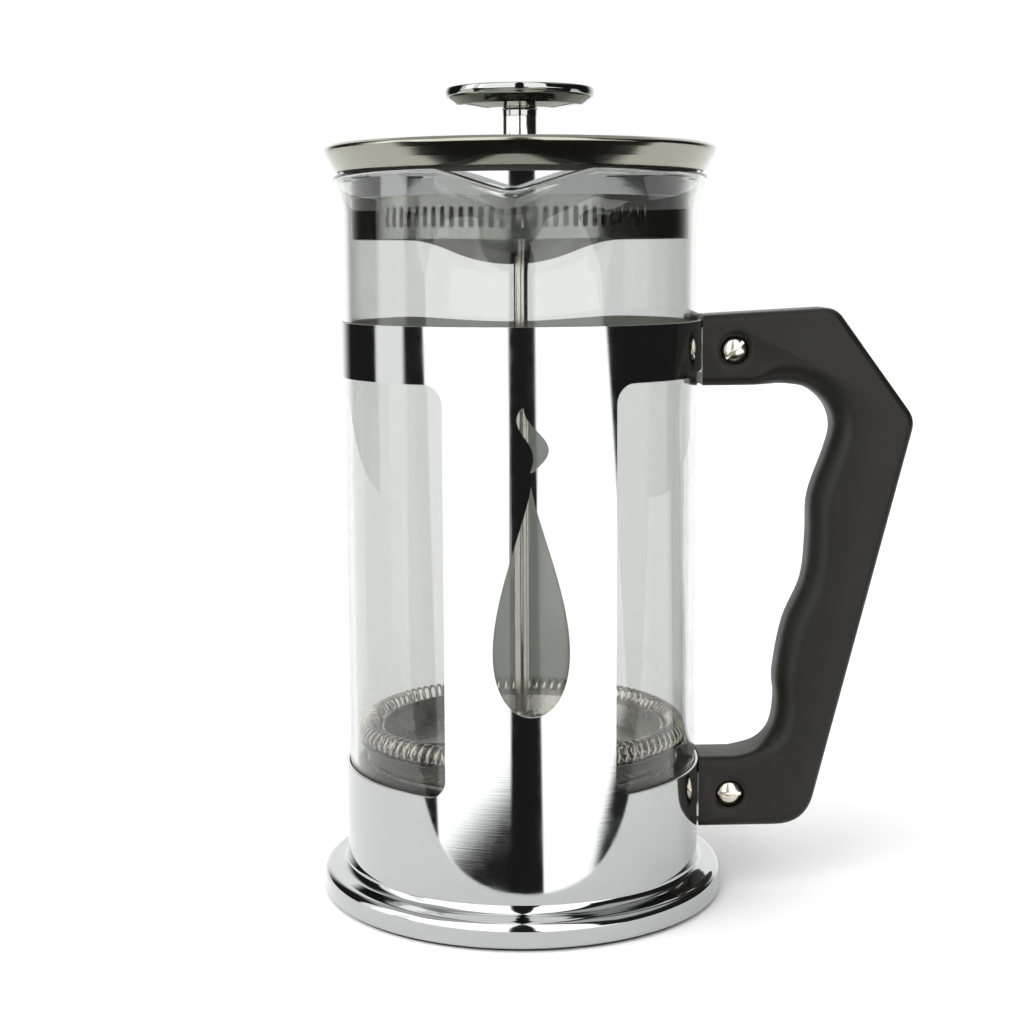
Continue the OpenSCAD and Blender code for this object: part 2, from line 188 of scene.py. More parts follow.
@dataclass(frozen=True)
class SteelFinish:
    """18/10 stainless steel. Polishing over a rolled sheet leaves faint lines and soft smudges.

    Within a given radius, in millimetres, the sheet keeps a rougher mill finish and turns a pale, nearly
    non-metal cream: painted light standing in for the bright reflected light inside the sleeve.
    """

    name: str
    colour: str
    roughness: float
    line_depth: float
    grain: Grain = Grain.AROUND
    spacing: float = 0.35
    length: float = 18.0
    smudge: float = 0.05
    rough_and_painted_light_within: float = 0.0
    inside_painted_light_colour: str = "f1efe4"
    dull_roughness: float = 0.4
    inside_painted_light_metal: float = 0.1

    def material(self) -> Material:
        """Builds the finish: lines in the bump, smudges in the roughness."""
        material, tree = new_tree(self.name)
        lines = noise(tree, grain_vector(tree, self.grain, self.spacing, self.length), 1.0, 3.0, 0.6)
        place = object_place(tree)
        cloud = noise(tree, place, 1 / (9 * MM), 4.0, 0.65)
        rough = remap(tree, cloud, (0.35, 0.75), (self.roughness, self.roughness + self.smudge))
        colour = srgb(self.colour)
        tone = blend(tree, lines, colour, tuple(c * 0.94 for c in colour[:3]) + (1.0,))
        metal: float | Socket = 1.0
        if self.rough_and_painted_light_within:
            flat = add_node(tree, "ShaderNodeVectorMath", {"operation": "MULTIPLY"}, {
                0: place, 1: (1, 1, 0)}).outputs[0]
            radius = add_node(tree, "ShaderNodeVectorMath", {"operation": "LENGTH"}, {
                0: flat}).outputs["Value"]
            rough_and_painted_light = maths(tree, "LESS_THAN", radius, self.rough_and_painted_light_within * MM)
            rough = maths(tree, "MULTIPLY_ADD", rough_and_painted_light, self.dull_roughness, rough)
            # Inside the radius the colour turns pale cream and the metal nearly goes: painted light for the
            # bright inside of the sleeve. The added roughness is the real mill finish.
            tone = blend(tree, rough_and_painted_light, tone, srgb(self.inside_painted_light_colour))
            metal = maths(tree, "MULTIPLY_ADD", rough_and_painted_light, self.inside_painted_light_metal - 1.0, 1.0)
        close_tree(tree, {"Base Color": tone, "Metallic": metal, "Roughness": rough,
                          "Normal": bumped(tree, lines, self.line_depth, 0.02)})
        return material


@dataclass(frozen=True)
class MouldedFinish:
    """A moulded plastic or rubber: the mould's fine grain, with faint cloudy marks or bloom.

    The grain and the clouds are sized in millimetres, and the roughness swings with the clouds.
    """

    name: str
    colour: str
    marks: str
    roughness: float = 0.7
    swing: Point = (0.0, 0.0)
    grain: float = 0.4
    grain_noise: Point = (3.0, 0.6)
    relief: float = 0.2
    cloud: float = 6.0
    cloud_detail: float = 4.0
    index: float = 1.5
    sheen: float = 0.5

    def material(self) -> Material:
        """Builds the finish: the grain in the bump, the clouds in the colour and the roughness."""
        material, tree = new_tree(self.name)
        place = object_place(tree)
        grit = noise(tree, place, 1 / (self.grain * MM), *self.grain_noise)
        cloud = noise(tree, place, 1 / (self.cloud * MM), self.cloud_detail, 0.6)
        low, high = (self.roughness + step for step in self.swing)
        close_tree(tree, {"Base Color": blend(tree, cloud, srgb(self.colour), srgb(self.marks)),
                          "Roughness": remap(tree, cloud, (0.3, 0.7), (low, high)),
                          "IOR": self.index, "Specular IOR Level": self.sheen,
                          "Normal": bumped(tree, grit, self.relief, 0.05)})
        return material


@dataclass(frozen=True)
class GlassFinish:
    """Blown borosilicate glass: clear, very slightly green, with faint drawing waves in its surface."""

    name: str
    colour: str
    edge: str = "c6d2b4"
    density: float = 32.0

    def material(self) -> Material:
        """Builds the finish: clear, with long shallow vertical waves, tinted in its depth.

        Lamps shine straight through it, so what it holds is lit.
        """
        material, tree = new_tree(self.name)
        waves = noise(tree, grain_vector(tree, Grain.ALONG, 7.0, 90.0), 1.0, 1.0, 0.4)
        dust = noise(tree, object_place(tree), 1 / (3 * MM), 6.0, 0.7)
        glass = add_node(tree, "ShaderNodeBsdfPrincipled", None, {
            "Base Color": srgb(self.colour), "Transmission Weight": 1.0, "IOR": 1.473,
            "Roughness": remap(tree, dust, (0.5, 0.8), (0.0, 0.03)),
            "Normal": bumped(tree, waves, 0.12, 0.15)})
        through = add_node(tree, "ShaderNodeBsdfTransparent", None, {"Color": srgb(self.colour)})
        path = add_node(tree, "ShaderNodeLightPath")
        surface = add_node(tree, "ShaderNodeMixShader", None, {
            0: path.outputs["Is Shadow Ray"], 1: glass.outputs[0], 2: through.outputs[0]})
        body = add_node(tree, "ShaderNodeVolumeAbsorption", None, {
            "Color": srgb(self.edge), "Density": self.density})
        add_node(tree, "ShaderNodeOutputMaterial", None, {
            "Surface": surface.outputs[0], "Volume": body.outputs[0]})
        return material


@dataclass(frozen=True)
class WovenWireFinish:
    """Plain-woven stainless wire cloth, crimped round the filter: a fine cross-hatch with painted shade
    darkening the gaps between the wires.

    The real cloth has about 0.3 mm between wires, too fine to show, so it is drawn at the given pitch.
    """

    name: str
    colour: str
    gap: str
    pitch: float = 0.62

    def material(self) -> Material:
        """Builds the finish: two crossed sets of wires in the bump and the colour, the low gaps between them
        painted dark as shade.
        """
        material, tree = new_tree(self.name)
        axes = add_node(tree, "ShaderNodeSeparateXYZ", None, {0: object_place(tree)})
        turns = math.tau / (self.pitch * MM)
        across, along, rise = (
            maths(tree, "SINE", maths(tree, "MULTIPLY", axes.outputs[axis], turns * factor))
            for axis, factor in (("X", 1.0), ("Y", 1.0), ("Z", 1.1)))
        weave = maths(tree, "ADD", maths(tree, "MULTIPLY", across, along), rise)
        height = remap(tree, weave, (-1.6, 1.4))
        # The gap colour is painted shade: the low parts of the weave are darkened where the open gaps would
        # fall into shadow.
        close_tree(tree, {"Base Color": blend(tree, height, srgb(self.gap), srgb(self.colour)),
                          "Metallic": 1.0, "Roughness": 0.34, "Normal": bumped(tree, height, 0.6, 0.12)})
        return material


@dataclass(frozen=True)
class FloorFinish:
    """Matt white laminate, with a barely visible mottle."""

    name: str
    colour: str

    def material(self) -> Material:
        """Builds the finish."""
        material, tree = new_tree(self.name)
        cloud = noise(tree, object_place(tree), 40.0, 2.0)
        close_tree(tree, {"Base Color": blend(tree, cloud, srgb(self.colour), srgb("fbfbfb")),
                          "Roughness": 0.9, "Specular IOR Level": 0.1})
        return material


class Finishes:
    """Every finish on the object, built once and shared."""

    def __init__(self) -> None:
        """Builds the materials."""
        self.mirror = SteelFinish("polished_steel", "b7b8b8", 0.04, 0.10).material()
        # Inside its radius the sheet is painted pale cream and nearly non-metal: painted light for the bright
        # inside of the sleeve.
        self.sheet = SteelFinish("polished_sheet_steel", "b7b8b8", 0.04, 0.10,
                                 rough_and_painted_light_within=48.6).material()
        self.lid = SteelFinish("polished_lid_steel", "96968b", 0.14, 0.35, spacing=0.5,
                               length=3.0, smudge=0.08).material()
        self.knob = SteelFinish("black_chrome", "9fa29f", 0.03, 0.06).material()
        self.satin = SteelFinish("satin_steel", "b8b6ae", 0.26, 0.5, spacing=0.2,
                                 length=9.0).material()
        self.strainer = SteelFinish("strainer_steel", "8a8a85", 0.14, 0.3).material()
        self.rod = SteelFinish("ground_rod_steel", "d2cec4", 0.12, 0.25, spacing=0.25,
                               length=2.5).material()
        self.wire = SteelFinish("drawn_spring_wire", "d0ccc0", 0.16, 0.2, spacing=0.2,
                                length=1.0).material()
        self.screw = SteelFinish("turned_screw_steel", "d8d2c4", 0.20, 0.3, Grain.ALONG,
                                 spacing=0.15, length=1.0).material()
        # 57544c is painted shade for the gaps between the wires.
        self.weave = WovenWireFinish("woven_wire_cloth", "c4bfb0", "57544c").material()
        self.nylon = MouldedFinish("black_nylon", "12110c", "1b1a14", 0.42, (-0.04, 0.05), 0.25,
                                   (2.0, 0.5), 0.12, 14.0, 5.0, 1.53, 0.24).material()
        self.glass = GlassFinish("borosilicate_glass", "dedfdf").material()
        self.silicone = MouldedFinish("white_silicone", "c9c9c2", "d8d8d2", 0.55).material()
        self.foot = MouldedFinish("foot_rubber", "161616", "262625").material()
        self.seal = MouldedFinish("seal_rubber", "24241d", "303028").material()
        self.floor = FloorFinish("white_laminate", "f6f6f6").material()


# ---- modelling ----


def make_active(piece: Piece) -> None:
    """Selects one object alone and makes it the active one."""
    bpy.ops.object.select_all(action="DESELECT")
    piece.select_set(True)
    bpy.context.view_layer.objects.active = piece


def primitive(kind: str, name: str, **settings: object) -> Piece:
    """Adds one of Blender's mesh primitives, such as "cube", under a name."""
    bpy.ops.object.select_all(action="DESELECT")
    getattr(bpy.ops.mesh, f"primitive_{kind}_add")(**settings)
    piece = bpy.context.object
    piece.name = piece.data.name = name
    return piece


@contextmanager
def editing(piece: Piece) -> Iterator[None]:
    """Holds an object in edit mode with all of it selected."""
    make_active(piece)
    bpy.ops.object.mode_set(mode="EDIT")
    bpy.ops.mesh.select_all(action="SELECT")
    yield
    bpy.ops.object.mode_set(mode="OBJECT")


def apply_modifier(piece: Piece, kind: str, **settings: object) -> None:
    """Adds a modifier with its settings and applies it."""
    make_active(piece)
    modifier = piece.modifiers.new(kind.lower(), kind)
    for name, value in settings.items():
        setattr(modifier, name, value)
    bpy.ops.object.modifier_apply(modifier=modifier.name)


def face_outwards() -> None:
    """Turns every face of the piece in edit mode outwards."""
    bpy.ops.mesh.select_all(action="SELECT")
    bpy.ops.mesh.normals_make_consistent(inside=False)


def add_object(name: str, data: bpy.types.ID) -> Piece:
    """Adds an object that holds the given data."""
    piece = bpy.data.objects.new(name, data)
    bpy.context.collection.objects.link(piece)
    return piece


def clean(piece: Piece, gap: float = 0.002) -> None:
    """Merges doubled points, dissolves slivers and turns every face outwards.

    Args:
        piece: The object.
        gap: Distance within which points merge, in millimetres.
    """
    with editing(piece):
        bpy.ops.mesh.remove_doubles(threshold=gap * MM)
        bpy.ops.mesh.dissolve_degenerate(threshold=gap * MM / 2)
        face_outwards()


def shade(piece: Piece, angle: float = 35.0) -> None:
    """Smooths faces that meet at less than an angle, in degrees."""
    make_active(piece)
    bpy.ops.object.shade_smooth_by_angle(angle=math.radians(angle))


def settle(piece: Piece) -> None:
    """Puts the object's origin at the frame's origin, with its place in its mesh."""
    make_active(piece)
    bpy.ops.object.transform_apply(location=True, rotation=True, scale=True)


def arc(centre: Point, radius: float, start: float, end: float, steps: int = 8) -> list[Point]:
    """Points of an arc from one angle to another, in degrees."""
    turns = [math.radians(start + (end - start) * i / steps) for i in range(steps + 1)]
    return [(centre[0] + radius * math.cos(t), centre[1] + radius * math.sin(t)) for t in turns]


def rounded(corners: Sequence[tuple[float, float, float]], closed: bool, steps: int = 6) -> list[Point]:
    """Rounds each corner of a line to its own radius.

    Args:
        corners: X, Y and radius of each corner; a radius of 0 keeps it sharp.
        closed: Whether the last corner joins the first.
        steps: Segments in each rounded corner.

    Returns:
        The points of the rounded line.
    """
    points: list[Point] = []
    count = len(corners)
    for i, (x, y, radius) in enumerate(corners):
        ends = not closed and i in (0, count - 1)
        if radius <= 0 or ends:
            points.append((x, y))
            continue
        here = Vector((x, y))
        before = (Vector(corners[i - 1][:2]) - here)
        after = (Vector(corners[(i + 1) % count][:2]) - here)
        half = before.angle(after) / 2
        reach = min(radius / math.tan(half), before.length * 0.49, after.length * 0.49)
        start, end = before.normalized() * reach, after.normalized() * reach
        for k in range(steps + 1):
            t = k / steps
            swing = start * (1 - t) ** 2 + end * t ** 2
            points.append((x + swing.x, y + swing.y))
    return points


def flat_shape(name: str, points: Sequence[Point]) -> Piece:
    """Makes a closed ring of edges through points of the XZ plane, in millimetres."""
    piece = primitive("circle", name, vertices=len(points), radius=MM)
    for vertex, (across, up) in zip(piece.data.vertices, points):
        vertex.co = (across * MM, 0, up * MM)
    return piece


def shaped_grid(name: str, columns: int, rows: int,
                place: Callable[[int, int], Sequence[float]]) -> Piece:
    """Adds a grid and moves each of its points to a place on a surface.

    Args:
        name: The object's name.
        columns: Cells along the grid.
        rows: Cells across it.
        place: Gives the X, Y and Z of the point at a column and row, in millimetres.

    Returns:
        The object.
    """
    piece = primitive("grid", name, x_subdivisions=columns, y_subdivisions=rows, size=MM)
    for vertex in piece.data.vertices:
        row, column = divmod(vertex.index, columns + 1)
        vertex.co = [c * MM for c in place(column, row)]
    return piece


def lathe(name: str, section: Sequence[Point], steps: int = 160, closed: bool = True,
          angle: float = 35.0) -> Piece:
    """Spins a section about the vertical axis.

    Args:
        name: The object's name.
        section: Radius and height of each point, in millimetres.
        steps: Steps in the full turn.
        closed: False when the section starts and ends on the axis.
        angle: Faces that meet at less than this shade smooth, in degrees.

    Returns:
        The object.
    """
    piece = flat_shape(name, section)
    if not closed:
        last = len(section) - 1
        with editing(piece):
            bpy.ops.mesh.select_all(action="DESELECT")
            bpy.ops.object.mode_set(mode="OBJECT")
            for edge in piece.data.edges:
                edge.select = set(edge.vertices) == {0, last}
            bpy.ops.object.mode_set(mode="EDIT")
            bpy.ops.mesh.select_mode(type="EDGE")
            bpy.ops.mesh.delete(type="EDGE")
            bpy.ops.mesh.select_mode(type="VERT")
    with editing(piece):
        bpy.ops.mesh.spin(steps=steps, angle=math.tau, center=(0, 0, 0), axis=(0, 0, 1))
    clean(piece)
    shade(piece, angle)
    return piece


def slab(name: str, points: Sequence[Point], depth: float) -> Piece:
    """Fills an outline in the XZ plane and extrudes it to both sides.

    Args:
        name: The object's name.
        points: The outline, in millimetres.
        depth: The whole thickness, in millimetres.

    Returns:
        The object.
    """
    piece = flat_shape(name, points)
    with editing(piece):
        bpy.ops.mesh.edge_face_add()
        bpy.ops.mesh.extrude_region_move(TRANSFORM_OT_translate={"value": (0, depth * MM, 0)})
        bpy.ops.mesh.select_all(action="SELECT")
        bpy.ops.transform.translate(value=(0, -depth / 2 * MM, 0))
        face_outwards()
    return piece


def subtract(piece: Piece, cutters: Sequence[Piece]) -> None:
    """Cuts other objects out of a piece and removes them."""
    for cutter in cutters:
        apply_modifier(piece, "BOOLEAN", operation="DIFFERENCE", solver="EXACT", object=cutter)
        bpy.data.objects.remove(cutter)


def ease_edges(piece: Piece, width: float, angle: float, miter: str = "MITER_ARC") -> None:
    """Rounds the sharp edges of a piece.

    Args:
        piece: The object.
        width: Width of the rounding, in millimetres.
        angle: Edges sharper than this are rounded, in degrees.
        miter: How the roundings meet at a corner.
    """
    apply_modifier(piece, "BEVEL", width=width * MM, segments=2, limit_method="ANGLE",
                   angle_limit=math.radians(angle), use_clamp_overlap=True, miter_outer=miter)


def dress(piece: Piece, material: Material) -> None:
    """Gives a piece its one material."""
    piece.data.materials.clear()
    piece.data.materials.append(material)


def dress_nodes(material: Material, *nodes: str) -> None:
    """Gives carried-over CAD nodes their material."""
    for name in nodes:
        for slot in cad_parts[name].material_slots:
            slot.material = material
        LOG.info("dressed %s with %s", name, material.name)


def install(piece: Piece, material: Material, body: str, slot: str,
            *nodes: str) -> None:
    """Dresses a finished piece and puts it on its body in place of CAD nodes.

    Args:
        piece: The finished object.
        material: Its material.
        body: The body that it rides on.
        slot: The record's material slot; not used.
        nodes: The CAD nodes that it stands for.
    """
    settle(piece)
    dress(piece, material)
    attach(piece, body)
    if nodes:
        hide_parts(*nodes)
    LOG.info("built %s: %d faces", piece.name, len(piece.data.polygons))


# ---- foot and frame ----


@dataclass
class Foot:
    """The pressed steel foot: neck, concave groove and rounded outer ring, with a rubber pad below."""

    neck: float = 48.2
    neck_top: float = 11.9
    seat: float = 10.15
    groove: float = 2.35
    ring: float = 55.48
    shoulder: float = 2.35
    sheet: float = 0.8

    def section(self) -> list[Point]:
        """Returns the closed section of the pressed sheet."""
        ring, sheet = self.ring, self.sheet
        outer = [(self.neck - sheet, self.neck_top), (self.neck, self.neck_top), (self.neck, self.seat),
                 (48.8, self.seat)]
        groove = arc((51.2, self.seat), self.groove, 180, 258, 10)
        shoulder = arc((ring - self.shoulder, 5.35), self.shoulder, 96, 0, 14)
        foot = arc((ring - 0.9, 1.75), 0.9, 0, -90, 6)
        inner = rounded([(ring - 1.7, 0.85, 0), (ring - 1.7, 5.4, 1.2), (ring - 2.9, 6.35, 1.0),
                         (50.4, 6.35, 1.0), (47.6, 6.0, 0.6), (47.0, 5.4, 0.5), (12, 5.4, 0),
                         (12, 6.15, 0), (44.6, 6.2, 0)], closed=False, steps=3)
        floor_turn = arc((44.9, 8.6), 2.4, -90, -8, 6)
        return outer + groove + shoulder + foot + inner + floor_turn

    def build(self, finishes: Finishes) -> None:
        """Builds the foot and dresses the pad under it."""
        piece = lathe("steel_foot", self.section(), steps=220, angle=28)
        floor = lathe("foot_floor", [(0, 5.4), (12.4, 5.4), (12.4, 6.15), (0, 6.15)], 96, closed=False)
        install(piece, finishes.mirror, "frame", "polished_steel", "base_pan")
        install(floor, finishes.mirror, "frame", "polished_steel")
        dress_nodes(finishes.foot, "foot_pad")
        dress_nodes(finishes.silicone, "beaker_cushion")


@dataclass
class Sleeve:
    """The steel sheet sleeve: a cup, a front and a back strip, and a top band, with cut-out windows."""

    outer: float = 48.9
    sheet: float = 0.6
    bottom: float = 10.2
    top: float = 158.0
    window_bottom: float = 36.9
    window_top: float = 143.5
    tab_top: float = 144.7
    strip_half_angle: float = 26.75
    tab_half_angle: float = 27.0
    corner: float = 5.2
    drop_width: float = 14.2
    drop_height: float = 89.0
    drop_reach: float = 29.5
    wisp_foot: float = 122.0
    wisp_reach: float = 16.0
    steps: int = 432

    def sector(self, name: str, half: float, low: float, high: float, facing: float) -> Piece:
        """Makes a curved cutter that spans an angle about a direction.

        Args:
            name: The cutter's name.
            half: Half its angle, in degrees.
            low: Its lowest height.
            high: Its highest height.
            facing: Direction of its middle, in degrees from +X.

        Returns:
            The cutter.
        """
        inside, outside = self.outer - 3, self.outer + 3
        section = [(inside, low), (outside, low), (outside, high), (inside, high)]
        cutter = flat_shape(name, section)
        cutter.data.transform(Matrix.Rotation(math.radians(facing + half), 4, "Z"))
        with editing(cutter):
            bpy.ops.mesh.edge_face_add()
            bpy.ops.mesh.spin(steps=max(4, round(half / 1.5)), angle=math.radians(2 * half),
                              center=(0, 0, 0), axis=(0, 0, 1))
            face_outwards()
        return cutter

    def corner_drill(self, angle: float, height: float) -> Piece:
        """Makes a round cutter that points out from the axis."""
        drill = primitive("cylinder", "drill", vertices=48, radius=self.corner * MM, depth=8 * MM)
        turn = Matrix.Rotation(math.radians(angle), 4, "Z")
        place = Matrix.Translation((self.outer * MM, 0, height * MM))
        drill.data.transform(turn @ place @ Matrix.Rotation(math.pi / 2, 4, "Y"))
        return drill

    def window_cutters(self, facing: float) -> list[Piece]:
        """Makes the cutters of one window with rounded corners."""
        half = 90 - self.strip_half_angle
        inset = math.degrees(self.corner / self.outer)
        low, high = self.window_bottom, self.window_top
        cutters = [self.sector("window", half - inset, low, high, facing),
                   self.sector("window", half, low + self.corner, high - self.corner, facing)]
        for side in (-1, 1):
            for height in (low + self.corner, high - self.corner):
                cutters.append(self.corner_drill(facing + side * (half - inset), height))
        return cutters

    def ornament_cutters(self) -> list[Piece]:
        """Makes the cutters of the front strip's ornament: a drop with a curl of steam above it."""
        turns = [math.tau * i / 72 for i in range(72)]
        drop = [(self.drop_width * math.sin(t) * abs(math.sin(t / 2)) ** 1.6,
                 self.drop_height + self.drop_reach * math.cos(t)) for t in turns]
        right = [self.wisp_edge(1, i / 24) for i in range(25)]
        left = [self.wisp_edge(-1, i / 24) for i in range(24, -1, -1)]
        cutters = [slab("drop", drop, 20), slab("wisp", right + left, 20)]
        for cutter in cutters:
            cutter.data.transform(Matrix.Translation((0, -self.outer * MM, 0)))
        return cutters

    def wisp_edge(self, side: int, along: float) -> Point:
        """One point on an edge of the steam curl, from its foot at 0 to its tip at 1."""
        sway = 2.4 * math.sin(math.radians(300 * along))
        half = 0.25 + 2.1 * math.sin(math.pi * along)
        return sway + side * half, self.wisp_foot + self.wisp_reach * along

    def build(self, finishes: Finishes) -> None:
        """Builds the sleeve and dresses the hidden brackets."""
        piece = primitive(
            "cylinder", "steel_sleeve", vertices=self.steps, radius=self.outer * MM,
            depth=(self.top - self.bottom) * MM, end_fill_type="NOTHING",
            location=(0, 0, (self.top + self.bottom) / 2 * MM))
        settle(piece)
        apply_modifier(piece, "SOLIDIFY", thickness=self.sheet * MM, offset=-1)
        cutters = self.window_cutters(0) + self.window_cutters(180) + self.ornament_cutters()
        cutters.append(self.sector("tab", self.tab_half_angle, self.window_top - 1, self.tab_top, 0))
        subtract(piece, cutters)
        clean(piece, 0.004)
        ease_edges(piece, 0.16, 50)
        shade(piece, 12)
        install(piece, finishes.sheet, "frame", "polished_steel", "frame_sleeve")
        dress_nodes(finishes.mirror, "upper_bracket", "lower_bracket")


# ---- handle ----


@dataclass
class SideHandle:
    """The moulded handle: two arms, a raked back and a finger-waved grip, with rounded edges."""

    thickness: float = 17.0
    outer_round: float = 2.6
    grip_round: float = 6.0
    wall: float = 49.3
    corners: tuple = ((42.0, 140.3, 0.0), (42.0, 159.0, 0.0), (85.0, 161.2, 6.0),
                      (107.4, 130.7, 7.0), (79.0, 17.2, 11.0), (42.0, 17.2, 0.0))
    grip: tuple = ((42.0, 37.1), (50.0, 37.1), (56.0, 37.1), (60.0, 37.3), (65.5, 39.2), (69.6, 44.2),
                   (70.9, 52.0), (70.5, 60.0), (73.1, 74.1), (78.0, 86.0), (79.2, 98.0), (79.6, 109.5),
                   (84.0, 122.5), (85.3, 129.0), (83.3, 134.8), (78.3, 139.2), (72.0, 140.5),
                   (66.0, 140.4), (56.0, 140.3), (48.0, 140.3), (42.0, 140.3))

    def grip_line(self, fineness: int = 6) -> list[Point]:
        """Runs a smooth curve through the grip's points."""
        knots = [Vector(p) for p in self.grip]
        line = []
        for i in range(len(knots) - 1):
            a, b = knots[max(i - 1, 0)], knots[i]
            c, d = knots[i + 1], knots[min(i + 2, len(knots) - 1)]
            for k in range(fineness):
                u = k / fineness
                p = 0.5 * (2 * b + (c - a) * u + (2 * a - 5 * b + 4 * c - d) * u * u
                           + (3 * b - a - 3 * c + d) * u ** 3)
                line.append((p.x, p.y))
        return line

    def outline(self) -> tuple[list[Point], list[float]]:
        """Returns the side view's points and how much each point's edge is rounded."""
        outer = rounded(self.corners, closed=False, steps=8)
        outer = [p for a, b in zip(outer, outer[1:]) for p in self.between(a, b)] + [outer[-1]]
        grip = self.grip_line()
        points = outer + grip
        radii = [self.outer_round] * len(outer)
        for x, z in grip:
            reach = min(max((x - 62) / 8, 0), 1)
            ease = reach * reach * (3 - 2 * reach)
            radii.append(self.outer_round + (self.grip_round - self.outer_round) * ease)
        radii = [0.02 if x < 45 else radius for (x, z), radius in zip(points, radii)]
        return points, radii

    @staticmethod
    def between(a: Point, b: Point) -> list[Point]:
        """Divides a straight stretch into steps of about 3 mm."""
        count = max(1, round(math.dist(a, b) / 3))
        return [(a[0] + (b[0] - a[0]) * i / count, a[1] + (b[1] - a[1]) * i / count)
                for i in range(count)]

    def body(self) -> Piece:
        """Builds the rounded handle: rings from the middle plane to each face, then the flat faces."""
        points, radii = self.outline()
        count = len(points)
        normals = []
        for i in range(count):
            tangent = Vector(points[(i + 1) % count]) - Vector(points[i - 1])
            normals.append(Vector((-tangent.y, tangent.x)).normalized())
        turns = [math.radians(90 * k / 7) for k in range(8)]
        levels = [(-1, t) for t in reversed(turns)] + [(1, t) for t in turns]
        half = self.thickness / 2

        def place(column: int, row: int) -> tuple[float, float, float]:
            i = column % count
            side, turn = levels[row]
            inset = radii[i] * (1 - math.cos(turn))
            depth = side * (half - radii[i] * (1 - math.sin(turn)))
            return (points[i][0] - normals[i].x * inset, depth, points[i][1] - normals[i].y * inset)

        piece = shaped_grid("side_handle", count, len(levels) - 1, place)
        with editing(piece):
            bpy.ops.mesh.remove_doubles(threshold=0.001 * MM)
            bpy.ops.mesh.fill_holes(sides=0)
            face_outwards()
        return piece

    def build(self, finishes: Finishes, screws: "HandleScrews") -> None:
        """Builds the handle, bores its screw seats and trims its inner end to the wall's curve."""
        piece = self.body()
        cutters = []
        for height in screws.heights:
            cutters += screws.seat_cutters(height, self.thickness)
        cutters.append(primitive("cylinder", "wall_cut", vertices=256, radius=self.wall * MM,
                                 depth=0.4, location=(0, 0, 0.09)))
        subtract(piece, cutters)
        clean(piece, 0.001)
        shade(piece, 32)
        install(piece, finishes.nylon, "frame", "black_plastic", "handle")


@dataclass
class HandleScrews:
    """Slotted dome-head screws from the front and barrel nuts from the back, in dished seats."""

    distance: float = 57.4
    heights: tuple[float, float] = (26.6, 149.9)
    head: float = 3.6
    seat: float = 5.6
    rise: float = 2.5
    slot: float = 0.95
    turns: dict = field(default_factory=lambda: {
        "lower_screw": -2.0, "upper_screw": 43.0, "lower_barrel_nut": 60.0, "upper_barrel_nut": 15.0})

    def seat_cutters(self, height: float, thickness: float) -> list[Piece]:
        """Makes the cutters of one screw's seats: a counterbore with a softly dished mouth on each face."""
        cutters = []
        for side in (-1, 1):
            depth, bore = self.seat - 0.1, self.head + 0.35
            half, dish = thickness / 2, 2.0
            mouth = [(0, depth), (bore, depth), (bore, half - 1.0)]
            mouth += [(bore + dish * (1 - math.cos(t)), half - 1.0 + 1.05 * math.sin(t))
                      for t in (math.radians(15 * k) for k in range(1, 7))]
            mouth += [(bore + dish, half + 3), (0, half + 3)]
            cutter = lathe("seat", mouth, 64, closed=False)
            cutter.data.transform(self.pose(height, side))
            cutters.append(cutter)
        return cutters

    def pose(self, height: float, side: int) -> Matrix:
        """Turns an upright piece to stand out of the handle's front (-1) or back (1)."""
        return (Matrix.Translation((self.distance * MM, 0, height * MM))
                @ Matrix.Rotation(-side * math.pi / 2, 4, "X"))

    def head_piece(self, name: str, turn: float) -> Piece:
        """Builds one dome head with its slot."""
        rim = 0.55
        dome = [(0, self.seat), (self.head - 0.15, self.seat), (self.head, self.seat + 0.15),
                (self.head, self.seat + rim)]
        dome += [(self.head * math.cos(math.radians(a)),
                  self.seat + rim + (self.rise - rim) * math.sin(math.radians(a)))
                 for a in range(9, 90, 9)]
        dome.append((0, self.seat + self.rise))
        piece = lathe(name, dome, 72, closed=False)
        cutter = primitive("cube", "slot", size=1, location=(0, 0, (self.seat + self.rise) * MM))
        cutter.scale = (3 * self.head * MM, self.slot * MM, 2.2 * MM)
        cutter.rotation_euler = (0, 0, math.radians(turn))
        settle(cutter)
        subtract(piece, [cutter])
        ease_edges(piece, 0.1, 45)
        shade(piece, 30)
        return piece

    def build(self, finishes: Finishes) -> None:
        """Builds the four heads with their shanks."""
        for name, turn in self.turns.items():
            height = self.heights[0] if name.startswith("lower") else self.heights[1]
            side = 1 if name.endswith("nut") else -1
            head = self.head_piece(name + "_head", turn)
            radius = 2.5 if side > 0 else 1.5
            shank = lathe(name + "_shank", rounded([
                (0, -3.0, 0), (radius, -3.0, 0.3), (radius, self.seat + 0.3, 0),
                (0, self.seat + 0.3, 0)], closed=False), 48, closed=False)
            for piece in (head, shank):
                piece.data.transform(self.pose(height, side))
            make_active(head)
            shank.select_set(True)
            bpy.ops.object.join()
            install(head, finishes.screw, "frame", "screw_steel", name)


# ---- beaker ----


